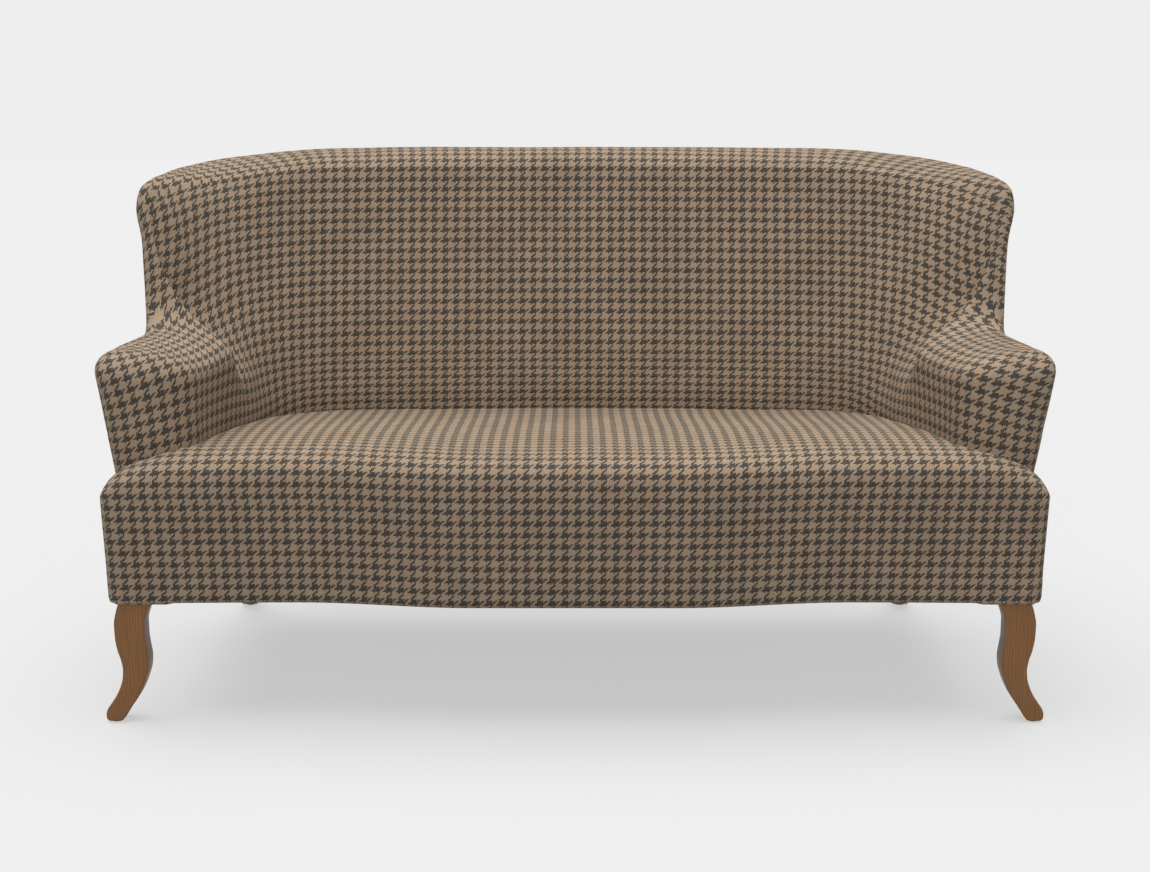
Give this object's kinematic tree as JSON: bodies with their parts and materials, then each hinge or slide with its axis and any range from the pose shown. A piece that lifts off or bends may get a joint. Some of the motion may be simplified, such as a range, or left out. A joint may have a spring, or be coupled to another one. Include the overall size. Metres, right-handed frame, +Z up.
{
  "type": "settee",
  "caption": "High back settee with forward wings, low flared arms, fitted bowed seat, houndstooth cloth and sawn curved front legs.",
  "frame": {"origin": "on the floor, below the middle of the settee's box", "axes": "+X to the right seen from the front, +Y to the back, +Z up"},
  "size_m": [1.6792, 0.8524, 0.962],
  "materials": {
    "cloth": "brown and taupe houndstooth wool",
    "dust_cloth": "black spun cloth",
    "wadding": "foam and wadding, undyed",
    "jute": "woven jute, undyed",
    "beech": "bare planed beech",
    "walnut": "walnut, satin lacquer",
    "steel": "bright steel",
    "nylon": "dark brown nylon"
  },
  "bodies": {
    "root": {"back_pad": "wadding", "back_seat_rail": "beech", "crest_rail": "beech", "cross_web_1": "jute", "cross_web_2": "jute", "cross_web_3": "jute", "dust_cover": "dust_cloth", "front_seat_rail": "beech", "inside_cover": "cloth", "left_arm_pad": "wadding", "left_arm_post": "beech", "left_arm_rail": "beech", "left_arm_tacking_rail": "beech", "left_back_post": "beech", "left_back_web_1": "jute", "left_back_web_2": "jute", "left_front_corner_block": "beech", "left_front_glide": "nylon", "left_front_leg": "walnut", "left_front_leg_bolt": "steel", "left_outside_arm_cover": "cloth", "left_outside_arm_lining": "jute", "left_rear_corner_block": "beech", "left_rear_glide": "nylon", "left_rear_leg": "walnut", "left_rear_leg_bolt": "steel", "left_side_seat_rail": "beech", "left_wing_rail": "beech", "lower_back_rail": "beech", "lower_back_upright": "beech", "outside_back_cover": "cloth", "outside_back_lining": "jute", "right_arm_pad": "wadding", "right_arm_post": "beech", "right_arm_rail": "beech", "right_arm_tacking_rail": "beech", "right_back_post": "beech", "right_back_web_1": "jute", "right_back_web_2": "jute", "right_front_corner_block": "beech", "right_front_glide": "nylon", "right_front_leg": "walnut", "right_front_leg_bolt": "steel", "right_outside_arm_cover": "cloth", "right_outside_arm_lining": "jute", "right_rear_corner_block": "beech", "right_rear_glide": "nylon", "right_rear_leg": "walnut", "right_rear_leg_bolt": "steel", "right_side_seat_rail": "beech", "right_wing_rail": "beech", "seat_cover": "cloth", "seat_hessian": "jute", "seat_pad": "wadding", "seat_stretcher": "beech", "seat_web_1": "jute", "seat_web_2": "jute", "seat_web_3": "jute", "seat_web_4": "jute", "upper_back_upright": "beech"}
  },
  "joints": []
}
